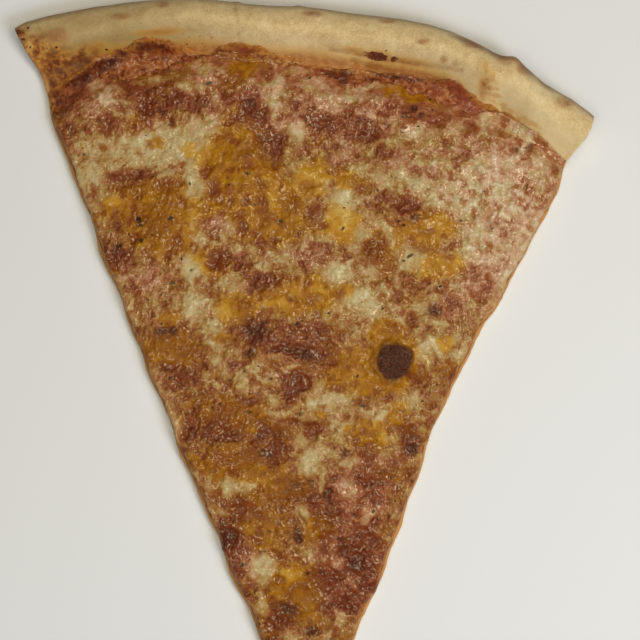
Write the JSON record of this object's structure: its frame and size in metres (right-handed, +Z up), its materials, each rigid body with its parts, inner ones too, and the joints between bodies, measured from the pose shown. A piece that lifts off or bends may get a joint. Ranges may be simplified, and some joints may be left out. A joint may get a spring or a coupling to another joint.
{
  "type": "cheese pizza slice",
  "caption": "Large wedge of cheese pizza with a rolled dough rim, a thin layer of tomato sauce and browned melted cheese, lying flat to be served or eaten.",
  "frame": {"origin": "middle of the length and width of the bounding box, on the underside", "axes": "+Y from the tip towards the rim, +Z up out of the cheese, +X to the right seen from above with the rim away from the viewer"},
  "size_m": [0.1814, 0.2342, 0.0161],
  "materials": {
    "dough": "dry baked dough, pale tan, matt",
    "sauce": "baked tomato sauce, brick red, moist",
    "cheese": "melted cheese, cream to golden with brown spots, oily"
  },
  "bodies": {
    "root": {"dough": "dough", "sauce": "sauce", "cheese": "cheese"}
  },
  "joints": []
}
